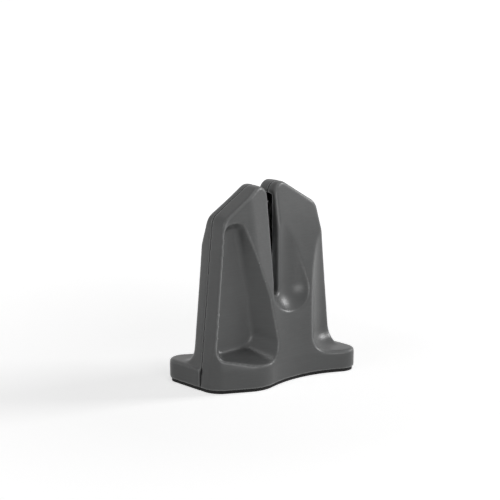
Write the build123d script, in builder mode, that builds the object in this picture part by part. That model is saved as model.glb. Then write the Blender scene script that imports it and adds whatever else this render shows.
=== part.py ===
from build123d import *
import os
from math import cos, pi, radians, sin

# Knife sharpener with two crossed sprung arms between two hollow towers, in millimetres.
# +Z is up, X runs from end to end, the blade is drawn along Y and the front half lies at -Y.
# The rear half-shell is the front form turned half round about Z.

# Body
height = 103.2
sole_thickness = 1.6
wall = 2.2
end_half_floor = 42.3
shoulder_height = 89.2
shoulder_half = 33.1
shoulder_round = 7.0
roof_slope = 0.614
peak_round = 6.0
end_thickness = 9.4
draft = 3.0
crest_x = 16.0
crest_y = 22.3
top_crest_y = 9.2
crest_round = 18.0
edge_round = 1.5
lip_round = 1.2
sharp_angle = 12.0

# Foot and waist
foot_height = 12.0
foot_half_length = 45.5
foot_half_depth = 26.5
top_half_depth = 0.5
foot_corner = 6.5
foot_front_x = 35.5
foot_bend = 9.0
waist_x = 9.5
waist_y = 18.2
top_waist_y = 4.5
corner_radius = 13.0
corner_relief = 0.3
corner_top = 40.0

# Finger scoop
finger_start_x = 18.2
finger_start_y = 20.2
finger_end_x = 37.0
finger_end_y = 8.0
finger_depth = 3.5
finger_fillet = 9.0

# Blade scoop and slot
scoop_x = 8.2
scoop_y = 24.5
scoop_radius = 16.5
scoop_floor = 33.0
slot_half = 2.6
slot_floor = 46.0

# Pocket
pocket_back = 5.8
pocket_back_corners = [(-37.2, 20.0), (-11.8, 20.0), (-15.6, 47.0), (-23.0, 83.5), (-31.4, 83.5)]
pocket_back_rounds = [4.5, 6.5, 40.0, 3.8, 3.6]
pocket_mouth = 26.0
pocket_mouth_corners = [(-44.7, 11.0), (2.1, 11.0), (2.6, 48.4), (-18.0, 99.9), (-35.1, 99.9)]
pocket_mouth_rounds = [5.2, 10.0, 40.0, 9.8, 4.2]
pocket_blend = 2.8

# Arms
pivot_x = 11.4
pivot_z = 25.0
arm_lean = 16.0
arm_travel = 10.0
arm_gap = 0.4
arm_thickness = 2.4
arm_width = 9.0
arm_length = 70.0
arm_tip_round = 2.5
hub_radius = 6.5
heel_reach = 10.8
heel_top = 24.0
heel_bottom = 19.2
strip_width = 1.6
strip_start = 30.0
strip_end = 66.0
room_half = 3.3
room_width = 21.0
room_floor = 36.0
room_top = 97.0

# Pivots and stops
pin_radius = 2.0
pin_depth = 13.0
pin_end = 2.6
pin_fit = 0.02
pivot_fit = 0.05
bush_radius = 3.2
clip_radius = 3.6
clip_thickness = 0.8
moving_gap = 0.3
boss_radius = 4.2
stop_fit = 0.05
stop_radius = 2.6
post_radius = 1.5
rest_stop_along = 16.0
end_stop_along = 48.0

# Springs
spring_x = 3.4
spring_radius = 2.4
spring_wire = 0.9
spring_turns = 6.0
spring_post_radius = 1.4
spring_post_height = 8.0

# Base plate and screws
plate_thickness = 2.4
plate_gap = 0.3
sole_inset = 0.9
screw_radius = 1.3
screw_fit = 0.05
head_radius = 2.6
head_height = 1.9
head_fit = 0.2
screw_boss_radius = 3.4
screw_boss_top = 17.0
screw_boss_depth = 14.0
upper_screw_x = 27.5
upper_screw_z = 78.0
upper_screw_seat = 3.6
upper_screw_length = 8.0
lower_screw_x = 34.5
lower_screw_z = 7.5
lower_screw_seat = 8.0
lower_screw_length = 16.0
base_screw_length = 6.5
foot_screw_x = 24.0
foot_screw_y = 15.0
lobe_screw_x = 24.0
lobe_screw_y = 11.0

half_turn = (0, 0, 180)
beyond = 30.0
tolerance = 0.001


def finger_cut(inset):
    """Room for the fingers in front of the right tower, rounded into the top of the foot."""
    chord = (finger_end_x - finger_start_x, finger_start_y - finger_end_y)
    length = (chord[0] ** 2 + chord[1] ** 2) ** 0.5
    middle = (
        (finger_start_x + finger_end_x) / 2 - finger_depth * chord[1] / length,
        -(finger_start_y + finger_end_y) / 2 + finger_depth * chord[0] / length,
    )
    with BuildPart() as cut:
        with BuildSketch(Plane.XY.offset(foot_height - inset)):
            with BuildLine():
                ThreePointArc((finger_start_x, -finger_start_y), middle, (finger_end_x, -finger_end_y))
                Polyline(
                    (finger_end_x, -finger_end_y),
                    (finger_end_x + beyond, -finger_end_y),
                    (finger_end_x + beyond, -height),
                    (finger_start_x, -height),
                    (finger_start_x, -finger_start_y),
                )
            make_face()
            offset(amount=inset, kind=Kind.INTERSECTION)
        extrude(amount=height)
        floor_edges = cut.faces().sort_by(Axis.Z)[0].edges()
        near_wall = floor_edges.filter_by_position(Axis.Y, -finger_start_y + 1, 0)
        fillet(near_wall, finger_fillet + inset)
    return cut.part


def scoop_cut(inset):
    """Upright round scoop with a ball floor, for the blade and the knuckles."""
    radius = scoop_radius + inset
    floor_z = scoop_floor - inset
    with BuildPart() as cut:
        with BuildSketch(Plane.XZ.offset(scoop_y)):
            with BuildLine():
                Line((scoop_x, floor_z), (scoop_x, height + beyond))
                Line((scoop_x, height + beyond), (scoop_x + radius, height + beyond))
                Line((scoop_x + radius, height + beyond), (scoop_x + radius, floor_z + radius))
                CenterArc((scoop_x, floor_z + radius), radius, 270, 90)
            make_face()
        revolve(axis=Axis((scoop_x, -scoop_y, 0), (0, 0, 1)))
    return cut.part


def pocket_outline(corners, rounds, inset):
    """Rounded outline of the pocket in the front view, moved outward by inset."""
    with BuildSketch() as outline:
        with BuildLine():
            Polyline(*corners, close=True)
        make_face()
        for corner, round in zip(corners, rounds):
            fillet(outline.vertices().sort_by_distance(corner)[0], round)
        offset(amount=inset)
    return outline.sketch


def pocket_cut(inset):
    """Three-cornered pocket in the slanted face, wider at its mouth than at its back."""
    with BuildPart() as cut:
        with BuildSketch(Plane.XZ.offset(pocket_back - inset)):
            add(pocket_outline(pocket_back_corners, pocket_back_rounds, inset))
        with BuildSketch(Plane.XZ.offset(pocket_mouth)):
            add(pocket_outline(pocket_mouth_corners, pocket_mouth_rounds, inset))
        loft(ruled=True)
        if not inset:
            fillet(cut.faces().sort_by(Axis.Y)[-1].edges(), pocket_blend)
    return cut.part


def plan_outline(end_half, crest, waist, front, inset):
    """Plan of the front half where its ends stand at end_half, with the seam side left open behind.

    The crest, the waist and the front are distances from the seam.
    """
    rise = (crest - end_thickness) / (end_half - crest_x)
    far_x = end_half + beyond
    with BuildSketch() as plan:
        with BuildLine():
            Polyline(
                (foot_half_length, -front),
                (end_half_floor - beyond * (foot_half_length - end_half_floor) / foot_half_depth, beyond),
                (-far_x, beyond),
                (-far_x, -end_thickness + rise * beyond),
                (-crest_x, -crest),
            )
            ThreePointArc((-crest_x, -crest), (waist_x, -waist), (foot_front_x, -front))
            Line((foot_front_x, -front), (foot_half_length, -front))
        make_face()
        fillet(plan.vertices().sort_by_distance((foot_half_length, -front))[0], foot_corner)
        fillet(plan.vertices().sort_by_distance((foot_front_x, -front))[0], foot_bend)
        fillet(plan.vertices().sort_by_distance((-crest_x, -crest))[0], crest_round)
        offset(amount=-inset, kind=Kind.INTERSECTION)
    return plan.sketch


def front_block(inset):
    """Front half of the body before its cuts, with every face moved inward by inset."""
    end_slope = (end_half_floor - shoulder_half) / shoulder_height
    floor_z = sole_thickness
    foot_plan = plan_outline(end_half_floor - end_slope * foot_height, crest_y, waist_y, foot_half_depth, inset)
    top_plan = plan_outline(end_half_floor - end_slope * height, top_crest_y, top_waist_y, top_half_depth, inset)
    with BuildPart() as form:
        with BuildSketch(Plane.XY.offset(foot_height)):
            add(foot_plan)
        with BuildSketch(Plane.XY.offset(height)):
            add(top_plan)
        loft(ruled=True)
        with BuildSketch(Plane.XY.offset(floor_z)):
            add(foot_plan)
        extrude(amount=foot_height - floor_z)

        # End faces, shoulders, roofs and the blade slot between the towers
        apex = shoulder_height + roof_slope * (shoulder_half - slot_half)
        tower = [
            (0, -beyond),
            (-end_half_floor - end_slope * beyond, -beyond),
            (-shoulder_half, shoulder_height),
            (-slot_half, apex),
            (-slot_half, slot_floor + slot_half),
            (0, slot_floor + slot_half),
        ]
        with BuildSketch(Plane.XZ) as profile:
            with BuildLine():
                Polyline(*tower, close=True)
            make_face()
            fillet(profile.vertices().sort_by_distance((-shoulder_half, shoulder_height))[0], shoulder_round)
            fillet(profile.vertices().sort_by_distance((-slot_half, apex))[0], peak_round)
            mirror(about=Plane.YZ)
            with Locations((0, slot_floor + slot_half)):
                Circle(slot_half, mode=Mode.SUBTRACT)
            offset(amount=-inset, kind=Kind.INTERSECTION)
        extrude(amount=height, taper=0 if inset else draft, mode=Mode.INTERSECT)

        # Foot in front of the right tower
        with BuildSketch(Plane.XY.offset(floor_z)):
            add(foot_plan)
            with Locations((0, -inset)):
                Rectangle(height, height, align=(Align.MIN, Align.MAX), mode=Mode.INTERSECT)
        extrude(amount=foot_height - inset - floor_z)
    return form.part


def corner_cut(inset):
    """Rounding of the corner of the left end above the floor."""
    rise = (crest_y - end_thickness) / (end_half_floor - crest_x)
    slant = (1 + rise ** 2) ** 0.5
    reach = corner_radius + corner_relief
    axis_x = reach - end_half_floor
    axis_y = reach * slant - rise * reach - end_thickness
    with BuildPart() as cut:
        with BuildSketch():
            with BuildLine():
                Polyline(
                    (axis_x, axis_y),
                    (axis_x - height, axis_y),
                    (axis_x - height, axis_y - height),
                    (axis_x - height * rise / slant, axis_y - height / slant),
                    close=True,
                )
            make_face()
            with Locations((axis_x, axis_y)):
                Circle(corner_radius - inset, mode=Mode.SUBTRACT)
        extrude(amount=corner_top)
    return cut.part


def front_form(inset):
    """Front half of the body with the cuts that shape its towers, moved inward by inset."""
    with BuildPart() as form:
        add(front_block(inset))
        add(finger_cut(inset), mode=Mode.SUBTRACT)
        add(corner_cut(inset), mode=Mode.SUBTRACT)
        add(scoop_cut(inset), mode=Mode.SUBTRACT)
        add(pocket_cut(inset), mode=Mode.SUBTRACT)
    return form.part


def sharp_edges(part):
    """Edges where two faces meet at a clear angle, apart from those on the seam and on the floor."""
    faces_at = {}
    for face in part.faces():
        for edge in face.edges():
            faces_at.setdefault(edge, []).append(face)
    chosen = ShapeList()
    for edge, faces in faces_at.items():
        middle = edge @ 0.5
        if len(faces) < 2 or middle.Y > -tolerance or middle.Z < sole_thickness + tolerance:
            continue
        if faces[0].normal_at(middle).get_angle(faces[1].normal_at(middle)) > sharp_angle:
            chosen.append(edge)
    return chosen


def lying_on(edges, solid):
    """Those of the edges whose middle lies on the solid's surface."""
    skin = solid.shells()[0]
    return edges.filter_by(lambda edge: skin.distance_to(edge @ 0.5) < tolerance)


def rounded_form():
    """Outer front half with its edges rounded."""
    finger, scoop = finger_cut(0), scoop_cut(0)
    with BuildPart() as body:
        add(front_block(0))
        add(finger, mode=Mode.SUBTRACT)

        # Ends, roofs, mouth of the blade slot and the edges beside the fingers
        edges = sharp_edges(body.part)
        low = edges.filter_by_position(Axis.Z, 0, foot_height)
        fillet(edges - low + lying_on(low, finger), edge_round)

        # Scoop with its lip
        add(scoop, mode=Mode.SUBTRACT)
        fillet(lying_on(sharp_edges(body.part), scoop), lip_round)

        add(pocket_cut(0), mode=Mode.SUBTRACT)
        add(corner_cut(0), mode=Mode.SUBTRACT)
    return body.part


def rod(x, z, start, end, radius):
    """Round bar along Y, with start and end measured from the seam toward the front."""
    with BuildPart() as bar:
        with BuildSketch(Plane.XZ.offset(start)):
            with Locations((x, z)):
                Circle(radius)
        extrude(amount=end - start)
    return bar.part


def upright(x, y, bottom, top, radius):
    """Round bar along Z."""
    with BuildPart() as bar:
        with BuildSketch(Plane.XY.offset(bottom)):
            with Locations((x, y)):
                Circle(radius)
        extrude(amount=top - bottom)
    return bar.part


def beside_arm(along, across, angle):
    """Point of the front view at a distance along the left arm and to the right of its middle line."""
    turn = radians(angle)
    return (
        pivot_x - along * sin(turn) + across * cos(turn),
        pivot_z + along * cos(turn) + across * sin(turn),
    )


# Places that several pieces share
arm_face = arm_gap + arm_thickness
stop_offset = arm_width / 2 + moving_gap + stop_radius
rest_stop = beside_arm(rest_stop_along, stop_offset, arm_lean)
end_stop = beside_arm(end_stop_along, -stop_offset, arm_lean + arm_travel)
plate_top = sole_thickness + plate_thickness
spring_y = -arm_gap - arm_thickness / 2
base_screw_places = [
    (foot_screw_x, -foot_screw_y),
    (-lobe_screw_x, -lobe_screw_y),
    (-foot_screw_x, foot_screw_y),
    (lobe_screw_x, lobe_screw_y),
]
shell_screws_across = [
    (-upper_screw_x, upper_screw_z, upper_screw_seat, upper_screw_length),
    (upper_screw_x, upper_screw_z, upper_screw_seat, upper_screw_length),
    (-lower_screw_x, lower_screw_z, lower_screw_seat, lower_screw_length),
    (lower_screw_x, lower_screw_z, lower_screw_seat, lower_screw_length),
]


def half_shell():
    """Hollow half with its bosses, as both halves share it."""
    with BuildPart() as hollow:
        add(front_form(wall))
        add(rod(pivot_x, pivot_z, arm_face + moving_gap, height, boss_radius), mode=Mode.SUBTRACT)
        add(rod(*rest_stop, arm_gap, height, post_radius), mode=Mode.SUBTRACT)
        add(rod(-end_stop[0], end_stop[1], 0, height, post_radius), mode=Mode.SUBTRACT)
        for x, z, seat, length in shell_screws_across:
            add(rod(x, z, 0, screw_boss_depth, screw_boss_radius), mode=Mode.SUBTRACT)
        for x, y in base_screw_places[:2]:
            add(upright(x, y, plate_top, screw_boss_top, screw_boss_radius), mode=Mode.SUBTRACT)

    with BuildPart() as half:
        add(rounded_form())
        add(hollow.part, mode=Mode.SUBTRACT)

        # Room for the arms through the walls of the slot
        with BuildSketch(Plane.XZ):
            with Locations((0, room_floor)):
                Rectangle(room_width, room_top - room_floor, align=(Align.CENTER, Align.MIN))
        extrude(amount=room_half, mode=Mode.SUBTRACT)

        # End stop post, which reaches across the seam
        add(rod(-end_stop[0], end_stop[1], -arm_face, arm_face, post_radius))

        add(rod(pivot_x, pivot_z, 0, pin_depth, pin_radius + pin_fit), mode=Mode.SUBTRACT)
        for x, y in base_screw_places[:2]:
            pilot_top = plate_top + base_screw_length
            add(upright(x, y, 0, pilot_top, screw_radius + screw_fit), mode=Mode.SUBTRACT)
    return half.part


os.makedirs("parts", exist_ok=True)
half = half_shell()

with BuildPart() as front_shell:
    add(half)
    for x, z, seat, length in shell_screws_across:
        add(rod(x, z, 0, length - seat + screw_fit, screw_radius + screw_fit), mode=Mode.SUBTRACT)

with BuildPart() as rear_shell:
    add(half, rotation=half_turn)
    for x, z, seat, length in shell_screws_across:
        add(rod(x, z, -seat, 0, screw_radius + screw_fit), mode=Mode.SUBTRACT)
        add(rod(x, z, -height, -seat, head_radius + head_fit), mode=Mode.SUBTRACT)

with BuildPart() as base_plate:
    extrude(front_block(wall + plate_gap).faces().group_by(Axis.Z)[0], amount=plate_thickness, dir=(0, 0, 1))
    add(corner_cut(wall + plate_gap), mode=Mode.SUBTRACT)
    add(base_plate.part, rotation=half_turn)
    for x, y in base_screw_places:
        add(upright(x, y, 0, plate_top, screw_radius + screw_fit), mode=Mode.SUBTRACT)
        add(upright(x, y, 0, sole_thickness + head_height, head_radius + head_fit), mode=Mode.SUBTRACT)
    add(upright(spring_x, spring_y, plate_top, plate_top + spring_post_height, spring_post_radius))
    add(upright(-spring_x, -spring_y, plate_top, plate_top + spring_post_height, spring_post_radius))

with BuildPart() as non_slip_sole:
    extrude(front_block(sole_inset).faces().group_by(Axis.Z)[0], amount=sole_thickness, dir=(0, 0, -1))
    add(corner_cut(sole_inset), mode=Mode.SUBTRACT)
    add(non_slip_sole.part, rotation=half_turn)

with BuildPart() as left_arm:
    with BuildSketch(Plane.XZ.offset(arm_gap)) as arm_outline:
        with Locations((pivot_x, pivot_z)):
            Rectangle(arm_width, arm_length, rotation=arm_lean, align=(Align.CENTER, Align.MIN))
        fillet(arm_outline.vertices().sort_by(Axis.Y)[-2:], arm_tip_round)
        with Locations((pivot_x, pivot_z)):
            Circle(hub_radius)
        with Locations((pivot_x - heel_reach, heel_bottom)):
            Rectangle(heel_reach, heel_top - heel_bottom, align=(Align.MIN, Align.MIN))
        with Locations((pivot_x, pivot_z)):
            Circle(bush_radius, mode=Mode.SUBTRACT)
        with Locations(beside_arm((strip_start + strip_end) / 2, (arm_width - strip_width) / 2, arm_lean)):
            Rectangle(strip_width, strip_end - strip_start, rotation=arm_lean, mode=Mode.SUBTRACT)
    extrude(amount=arm_thickness)

with BuildPart() as left_arm_carbide:
    with BuildSketch(Plane.XZ.offset(arm_gap)):
        with Locations(beside_arm((strip_start + strip_end) / 2, (arm_width - strip_width) / 2, arm_lean)):
            Rectangle(strip_width, strip_end - strip_start, rotation=arm_lean)
    extrude(amount=arm_thickness)

with BuildPart() as left_arm_bush:
    add(rod(pivot_x, pivot_z, arm_gap, arm_face, bush_radius))
    add(rod(pivot_x, pivot_z, 0, arm_face, pin_radius + pivot_fit), mode=Mode.SUBTRACT)

with BuildPart() as left_arm_pin:
    add(rod(pivot_x, pivot_z, -pin_end, pin_depth, pin_radius))

with BuildPart() as left_pin_clip:
    clip_front = arm_gap - moving_gap
    add(rod(pivot_x, pivot_z, clip_front - clip_thickness, clip_front, clip_radius))
    add(rod(pivot_x, pivot_z, -height, height, pin_radius + pin_fit), mode=Mode.SUBTRACT)

with BuildPart() as left_rest_stop:
    add(rod(*rest_stop, arm_gap, arm_face, stop_radius))
    add(rod(*rest_stop, 0, height, post_radius + stop_fit), mode=Mode.SUBTRACT)

with BuildPart() as left_end_stop:
    add(rod(*end_stop, arm_gap, arm_face, stop_radius))
    add(rod(*end_stop, 0, height, post_radius + stop_fit), mode=Mode.SUBTRACT)


def coil_point(turns):
    """Point of the spring's middle line and its direction after a number of turns."""
    angle = 2 * pi * turns
    rise = spring_length / spring_turns
    point = Vector(spring_radius * cos(angle), spring_radius * sin(angle), rise * turns)
    direction = Vector(-2 * pi * spring_radius * sin(angle), 2 * pi * spring_radius * cos(angle), rise)
    return point, direction.normalized()


spring_length = heel_bottom - plate_top - 2 * moving_gap - spring_wire
spring_foot = Vector(spring_x, spring_y, plate_top + moving_gap + spring_wire / 2)
with BuildPart() as left_arm_spring:
    with BuildLine() as coil:
        for step in range(int(4 * spring_turns)):
            start, start_way = coil_point(step / 4)
            end, end_way = coil_point((step + 1) / 4)
            chord = end - start
            ways = start_way + end_way
            spread = 2 * (1 - start_way.dot(end_way))
            reach = (((chord.dot(ways)) ** 2 + spread * chord.dot(chord)) ** 0.5 - chord.dot(ways)) / spread
            middle = (start + end + (start_way - end_way) * reach) * 0.5
            first = TangentArc(spring_foot + start, spring_foot + middle, tangent=start_way)
            TangentArc(spring_foot + middle, spring_foot + end, tangent=first % 1)
    with BuildSketch(Plane(coil.line @ 0, z_dir=coil.line % 0)):
        Circle(spring_wire / 2)
    sweep()

with BuildPart() as shell_screws:
    for x, z, seat, length in shell_screws_across:
        add(rod(x, z, -seat, length - seat, screw_radius))
        add(rod(x, z, -seat - head_height, -seat, head_radius))

with BuildPart() as base_screws:
    for x, y in base_screw_places:
        add(upright(x, y, sole_thickness, plate_top + base_screw_length - screw_fit, screw_radius))
        add(upright(x, y, sole_thickness, sole_thickness + head_height, head_radius))

pieces = {
    "front_shell": front_shell.part,
    "rear_shell": rear_shell.part,
    "base_plate": base_plate.part,
    "non_slip_sole": non_slip_sole.part,
    "shell_screws": shell_screws.part,
    "base_screws": base_screws.part,
}
arm_pieces = {
    "arm": left_arm,
    "arm_carbide": left_arm_carbide,
    "arm_bush": left_arm_bush,
    "arm_pin": left_arm_pin,
    "pin_clip": left_pin_clip,
    "rest_stop": left_rest_stop,
    "end_stop": left_end_stop,
    "arm_spring": left_arm_spring,
}
for name, piece in arm_pieces.items():
    pieces["left_" + name] = piece.part
    with BuildPart() as turned:
        add(piece.part, rotation=half_turn)
    pieces["right_" + name] = turned.part

for name, piece in pieces.items():
    piece.label = name
    export_step(piece, "parts/" + name + ".step")
print("ok")
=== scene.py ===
from math import cos, radians, sin
import bpy
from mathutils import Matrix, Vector


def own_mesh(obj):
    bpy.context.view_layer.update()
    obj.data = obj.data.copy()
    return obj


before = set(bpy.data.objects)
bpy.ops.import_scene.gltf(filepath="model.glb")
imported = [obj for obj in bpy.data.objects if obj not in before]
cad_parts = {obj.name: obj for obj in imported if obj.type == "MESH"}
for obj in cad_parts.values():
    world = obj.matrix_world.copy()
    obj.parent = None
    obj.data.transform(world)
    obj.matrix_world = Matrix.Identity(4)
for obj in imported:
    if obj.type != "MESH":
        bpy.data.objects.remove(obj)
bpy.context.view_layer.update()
print("frame loaded")

mmPerMetre = 1000
sides = ("left", "right")


# A colour written as sRGB hex, in linear light
def linear(hexColour):
    channels = [int(hexColour[i:i + 2], 16) / 255 for i in (0, 2, 4)]
    return [c / 12.92 if c <= 0.04045 else ((c + 0.055) / 1.055) ** 2.4 for c in channels] + [1.0]


# One node with its settings and links, its sockets called by identifier. It gives one output to go on with
def addNode(tree, kind, settings, links, output):
    node = tree.nodes.new(kind)
    sockets = {socket.identifier: socket for socket in node.inputs}
    for name, value in settings.items():
        if name in sockets:
            sockets[name].default_value = value
        else:
            setattr(node, name, value)
    for name, source in links.items():
        tree.links.new(source, sockets[name])
    return next(socket for socket in node.outputs if socket.identifier == output)


# A material, its tree, its shader and the object's own coordinates in metres
def newMaterial(name):
    material = bpy.data.materials.new(name)
    material.use_nodes = True
    tree = material.node_tree
    place = addNode(tree, "ShaderNodeTexCoord", {}, {}, "Object")
    return material, tree, tree.nodes["Principled BSDF"], place


# Settings for a pattern's blotches of a real size
patternDetail = {"grain": 3, "cloud": 2, "streak": 2, "bloom": 4, "line": 2, "stain": 3}


def blotches(look, pattern):
    return {"Scale": mmPerMetre / look[pattern + "Mm"], "Detail": patternDetail[pattern]}


# Settings that carry one range to another, held at its ends
def fromTo(source, target):
    return {"From Min": source[0], "From Max": source[1], "To Min": target[0], "To Max": target[1]}


# Colours laid over a ground: each has the value that masks it, that value's range, and how much of it shows
def layColours(tree, ground, layers):
    below = None
    for colour, value, source, target in layers:
        mask = addNode(tree, "ShaderNodeMapRange", fromTo(source, target), {"Value": value}, "Result")
        links = {"Factor_Float": mask}
        if below:
            links["A_Color"] = below
        ends = {"data_type": "RGBA", "A_Color": linear(ground), "B_Color": linear(colour)}
        below = addNode(tree, "ShaderNodeMix", ends, links, "Result_Color")
    return below


# The colour, and one fine pattern that gives both the spread of roughness and the relief
def coverSurface(tree, shader, look, colour, pattern, source):
    rough = addNode(tree, "ShaderNodeMapRange", fromTo(source, look["rough"]), {"Value": pattern}, "Result")
    depth = {"Strength": look["bump"], "Distance": look["reliefMm"] / mmPerMetre}
    relief = addNode(tree, "ShaderNodeBump", depth, {"Height": pattern}, "Normal")
    for name, output in (("Base Color", colour), ("Roughness", rough), ("Normal", relief)):
        tree.links.new(output, shader.inputs[name])


# Parts of a pattern's range, and how much of a colour shows through a mask
noiseMost = (0.25, 0.75)
noiseMiddle = (0.3, 0.7)
noiseTops = (0.45, 0.75)
noisePeaks = (0.5, 0.8)
fullCover = (0, 1)
stainCover = (0, 0.5)
streakCover = (0, 0.25)


# ABS, injection moulded in a spark-eroded tool: satin, with grain, level streaks and faint clouds of tone.
# Its convex edges are painted pale as a highlight on the rims, and a dark line of painted shade runs where
# the two mouldings meet. The grain is drawn coarse enough to show
def mouldedPlastic(name, look):
    material, tree, shader, place = newMaterial(name)
    grain = addNode(tree, "ShaderNodeTexNoise", blotches(look, "grain"), {"Vector": place}, "Fac")
    cloud = addNode(tree, "ShaderNodeTexNoise", blotches(look, "cloud"), {"Vector": place}, "Fac")
    level = addNode(tree, "ShaderNodeMapping", {"Scale": look["streak"]}, {"Vector": place}, "Vector")
    streaks = addNode(tree, "ShaderNodeTexNoise", blotches(look, "streak"), {"Vector": level}, "Fac")
    standsOut = addNode(tree, "ShaderNodeNewGeometry", {}, {}, "Pointiness")
    across = addNode(tree, "ShaderNodeSeparateXYZ", {}, {"Vector": place}, "Y")
    fromSeam = addNode(tree, "ShaderNodeMath", {"operation": "ABSOLUTE"}, {"Value": across}, "Value")
    seamHalf = look["seamMm"] / 2 / mmPerMetre
    colour = layColours(tree, look["dark"], (
        (look["light"], cloud, noiseMiddle, fullCover),
        (look["pale"], streaks, noiseTops, streakCover),
        # Painted highlight: convex edges, picked out by pointiness, are drawn paler
        (look["edge"], standsOut, look["rimHighlightRange"], fullCover),
        # Painted shade: a dark line along the seam's plane, where the two shells meet flush
        (look["seam"], fromSeam, (seamHalf / 2, seamHalf), (1, 0)),
    ))
    coverSurface(tree, shader, look, colour, grain, noiseMiddle)
    shader.inputs["Specular IOR Level"].default_value = look["shine"]
    return material


# Moulded black rubber: matt, finely grained, with a pale bloom in patches
def rubber(name, look):
    material, tree, shader, place = newMaterial(name)
    grain = addNode(tree, "ShaderNodeTexNoise", blotches(look, "grain"), {"Vector": place}, "Fac")
    bloom = addNode(tree, "ShaderNodeTexNoise", blotches(look, "bloom"), {"Vector": place}, "Fac")
    colour = layColours(tree, look["dark"], ((look["light"], bloom, noiseTops, fullCover),))
    coverSurface(tree, shader, look, colour, grain, noiseMiddle)
    shader.inputs["Specular IOR Level"].default_value = look["shine"]
    return material


# Ground, drawn or turned metal: fine lines along one direction under a faint stain. The lines are drawn
# coarse enough to show
def drawnMetal(name, look):
    material, tree, shader, place = newMaterial(name)
    lay = {"Rotation": [radians(angle) for angle in look["turn"]], "Scale": look["stretch"]}
    along = addNode(tree, "ShaderNodeMapping", lay, {"Vector": place}, "Vector")
    lines = addNode(tree, "ShaderNodeTexNoise", blotches(look, "line"), {"Vector": along}, "Fac")
    stain = addNode(tree, "ShaderNodeTexNoise", blotches(look, "stain"), {"Vector": place}, "Fac")
    colour = layColours(tree, look["dark"], (
        (look["light"], lines, noiseMost, fullCover),
        (look["stain"], stain, noisePeaks, stainCover),
    ))
    coverSurface(tree, shader, look, colour, lines, noiseMost)
    shader.inputs["Metallic"].default_value = 1.0
    return material


# Mid-grey ABS of the two half-shells
shellPlastic = mouldedPlastic("shellPlastic", {
    "grainMm": 0.45, "cloudMm": 16, "streakMm": 0.3, "streak": (0.04, 0.04, 1),
    "dark": "4e4f4f", "light": "555656", "pale": "646565",
    # The pale grey drawn on convex edges is a painted highlight on the rims
    "edge": "a0a1a1", "rimHighlightRange": (0.51, 0.57),
    # The dark grey drawn along the seam is painted shade of the parting gap
    "seam": "1e1f1f", "seamMm": 0.8,
    "rough": (0.29, 0.39), "bump": 0.3, "reliefMm": 0.04, "shine": 0.5})
# Near-black ABS of the plate below, which has no seam of its own
basePlastic = mouldedPlastic("basePlastic", {
    "grainMm": 0.6, "cloudMm": 20, "streakMm": 3, "streak": (1, 1, 1),
    "dark": "2c2d2e", "light": "343536", "pale": "38393a",
    # The paler grey drawn on convex edges is a painted highlight on the rims
    "edge": "45474a", "rimHighlightRange": (0.52, 0.6),
    "seam": "2c2d2e", "seamMm": 0.1,
    "rough": (0.5, 0.6), "bump": 0.4, "reliefMm": 0.04, "shine": 0.4})
rubberSkin = {"rough": (0.72, 0.9), "bump": 0.5, "reliefMm": 0.06, "shine": 0.35}
soleRubber = rubber("soleRubber", {
    "grainMm": 0.5, "bloomMm": 12, "dark": "191919", "light": "262625", **rubberSkin})
stopRubber = rubber("stopRubber", {
    "grainMm": 0.25, "bloomMm": 3, "dark": "161616", "light": "232322", **rubberSkin})
metalSkin = {"bump": 0.3, "reliefMm": 0.02, "turn": (0, 0, 0)}
# Cold-rolled stainless strip, brushed along the arm, which leans by this many degrees
armLean = {"left": 16, "right": -16}
armSteel = {
    side: drawnMetal(side + "ArmSteel", {
        **metalSkin, "turn": (0, armLean[side], 0), "stretch": (1, 1, 0.03), "lineMm": 0.16, "stainMm": 9,
        "dark": "b4b6b8", "light": "d6d7d8", "stain": "c2c1bd", "rough": (0.24, 0.42)})
    for side in sides}
# Sintered tungsten carbide, ground across the strip
carbide = drawnMetal("carbide", {
    **metalSkin, "stretch": (1, 0.04, 1), "lineMm": 0.12, "stainMm": 2,
    "dark": "4c4d50", "light": "68696c", "stain": "3c3c3f", "rough": (0.3, 0.5)})
# Turned brass with a dull skin
brass = drawnMetal("brass", {
    **metalSkin, "stretch": (0.05, 1, 0.05), "lineMm": 0.14, "stainMm": 3,
    "dark": "b08d4a", "light": "d2b06a", "stain": "8e7342", "rough": (0.28, 0.46)})
# Ground silver steel
pinSteel = drawnMetal("pinSteel", {
    **metalSkin, "stretch": (0.05, 1, 0.05), "lineMm": 0.12, "stainMm": 3,
    "dark": "a6a8ab", "light": "c6c8ca", "stain": "8f9092", "rough": (0.2, 0.36)})
# Zinc-plated steel, faintly blue
screwSteel = drawnMetal("screwSteel", {
    **metalSkin, "stretch": (1, 0.3, 0.3), "lineMm": 0.4, "stainMm": 1.5,
    "dark": "9ea4aa", "light": "c3c8cc", "stain": "868a90", "rough": (0.26, 0.44)})
# Drawn music wire
springSteel = drawnMetal("springSteel", {
    **metalSkin, "stretch": (0.1, 0.1, 1), "lineMm": 0.1, "stainMm": 2,
    "dark": "86898d", "light": "a9acb0", "stain": "6c6e72", "rough": (0.26, 0.42)})

finishes = {
    "front_shell": shellPlastic,
    "rear_shell": shellPlastic,
    "base_plate": basePlastic,
    "non_slip_sole": soleRubber,
    "shell_screws": screwSteel,
    "base_screws": screwSteel,
}
for side in sides:
    finishes[side + "_arm"] = armSteel[side]
    finishes[side + "_arm_carbide"] = carbide
    finishes[side + "_arm_bush"] = brass
    finishes[side + "_arm_pin"] = pinSteel
    finishes[side + "_pin_clip"] = pinSteel
    finishes[side + "_rest_stop"] = stopRubber
    finishes[side + "_end_stop"] = stopRubber
    finishes[side + "_arm_spring"] = springSteel
for node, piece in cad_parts.items():
    piece.data.materials.clear()
    piece.data.materials.append(finishes[node])
print("materials set")

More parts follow.
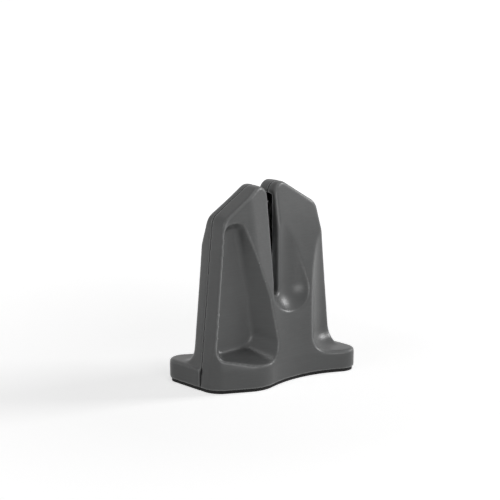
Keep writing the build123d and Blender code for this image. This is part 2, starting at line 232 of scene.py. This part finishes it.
# Small pieces that are sharp in the solids get a broken edge, its width in millimetres
softEdges = {"base_plate": 0.4, "non_slip_sole": 0.4, "shell_screws": 0.3, "base_screws": 0.3}
for side in sides:
    softEdges[side + "_arm"] = 0.25
    softEdges[side + "_arm_carbide"] = 0.1
    softEdges[side + "_arm_pin"] = 0.25
brokenEdge = {"segments": 2, "sharpAngle": 40}
for node, widthMm in softEdges.items():
    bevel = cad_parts[node].modifiers.new("softEdges", "BEVEL")
    bevel.width = widthMm / mmPerMetre
    bevel.segments = brokenEdge["segments"]
    bevel.limit_method = "ANGLE"
    bevel.angle_limit = radians(brokenEdge["sharpAngle"])

# The shells' edges are rounded by smoothing an even mesh, the second time only along the seam's plane, so
# that the halves still meet there
evenMesh = {"voxelMm": 0.6, "factor": 0.5, "allWays": 8, "alongSeam": 6}
for node in ("front_shell", "rear_shell"):
    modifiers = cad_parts[node].modifiers
    remesh = modifiers.new("evenMesh", "REMESH")
    remesh.mode = "VOXEL"
    remesh.voxel_size = evenMesh["voxelMm"] / mmPerMetre
    remesh.use_smooth_shade = True
    for stage in ("allWays", "alongSeam"):
        smooth = modifiers.new(stage, "SMOOTH")
        smooth.factor = evenMesh["factor"]
        smooth.iterations = evenMesh[stage]
        smooth.use_y = stage == "allWays"
print("edges broken")

# Each spring gets a mesh of its own
springs = {
    "left_arm_spring": {"joint": "left_arm_pivot", "foot": (0.0034, -0.0016, 0.0043)},
    "right_arm_spring": {"joint": "right_arm_pivot", "foot": (-0.0034, 0.0016, 0.0043)}}
for node, spring in springs.items():
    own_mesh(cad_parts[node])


# A strength that is one value for the light on the object and another where the backdrop is seen
def shownAs(tree, hidden, shown):
    seen = addNode(tree, "ShaderNodeLightPath", {}, {}, "Is Camera Ray")
    rays = seen.node.outputs
    for kind in ("Is Glossy Ray", "Is Transmission Ray"):
        links = {"Value": seen, "Value_001": rays[kind]}
        seen = addNode(tree, "ShaderNodeMath", {"operation": "MAXIMUM"}, links, "Value")
    return addNode(tree, "ShaderNodeMapRange", fromTo((0, 1), (hidden, shown)), {"Value": seen}, "Result")


# Pale painted floor, matt, which grows to white away from the object
floorLook = {
    "size": 6.0, "colour": "f2f2f2", "rough": 0.9,
    "glowColour": "ffffff", "glow": (0.62, 1.0), "reach": (0.1, 0.6), "hidden": 0.0, "shown": 1.0}
bpy.ops.mesh.primitive_plane_add(size=floorLook["size"])
floor = bpy.context.object
floor.name = "floor"
floorMaterial, tree, shader, place = newMaterial("paleFloor")
shader.inputs["Base Color"].default_value = linear(floorLook["colour"])
shader.inputs["Roughness"].default_value = floorLook["rough"]
shader.inputs["Emission Color"].default_value = linear(floorLook["glowColour"])
away = addNode(tree, "ShaderNodeVectorMath", {"operation": "LENGTH"}, {"Vector": place}, "Value")
growth = fromTo(floorLook["reach"], floorLook["glow"])
grown = addNode(tree, "ShaderNodeMapRange", growth, {"Value": away}, "Result")
seen = shownAs(tree, floorLook["hidden"], floorLook["shown"])
links = {"Value": seen, "Value_001": grown}
glow = addNode(tree, "ShaderNodeMath", {"operation": "MULTIPLY"}, links, "Value")
tree.links.new(glow, shader.inputs["Emission Strength"])
floor.data.materials.append(floorMaterial)

studio = {"colour": "ffffff", "hidden": 0.02, "shown": 1.0}
world = bpy.data.worlds.new("studio")
world.use_nodes = True
sky = world.node_tree.nodes["Background"]
sky.inputs["Color"].default_value = linear(studio["colour"])
skyStrength = shownAs(world.node_tree, studio["hidden"], studio["shown"])
world.node_tree.links.new(skyStrength, sky.inputs["Strength"])
bpy.context.scene.world = world

# Soft boxes, all aimed at the middle of the object
middle = Vector((0, 0, 0.05))
softBoxes = {
    "right": {"place": (0.92, -0.45, 0.5), "size": (0.35, 0.35), "watts": 5.2},
    "front": {"place": (-0.2, -0.95, 0.15), "size": (0.5, 0.3), "watts": 2.2},
    "left": {"place": (-0.95, 0.1, 0.33), "size": (0.5, 0.5), "watts": 1.1},
    "overhead": {"place": (0, -0.1, 0.95), "size": (0.4, 0.4), "watts": 1.0}}
for name, box in softBoxes.items():
    lamp = bpy.data.lights.new(name, "AREA")
    lamp.shape = "RECTANGLE"
    lamp.size, lamp.size_y = box["size"]
    lamp.energy = box["watts"]
    light = bpy.data.objects.new(name, lamp)
    light.location = box["place"]
    light.rotation_euler = (middle - light.location).to_track_quat("-Z", "Y").to_euler()
    bpy.context.scene.collection.objects.link(light)
print("light set")

# The photograph's view: degrees to the left and up, metres away and across the frame at the object
view = {
    "azimuth": -40, "elevation": 15.5, "distance": 0.68,
    "across": 0.26, "sensorMm": 36, "shift": (-0.026, 0.065)}
azimuth = radians(view["azimuth"])
elevation = radians(view["elevation"])
towards = Vector((sin(azimuth) * cos(elevation), -cos(azimuth) * cos(elevation), sin(elevation)))
camera = bpy.data.objects.new("camera", bpy.data.cameras.new("camera"))
camera.location = middle + view["distance"] * towards
camera.rotation_euler = (middle - camera.location).to_track_quat("-Z", "Y").to_euler()
camera.data.sensor_width = view["sensorMm"]
camera.data.lens = view["sensorMm"] * view["distance"] / view["across"]
camera.data.shift_x, camera.data.shift_y = view["shift"]
bpy.context.scene.collection.objects.link(camera)
bpy.context.scene.camera = camera
bpy.context.scene.view_settings.view_transform = "Standard"
print("camera set")
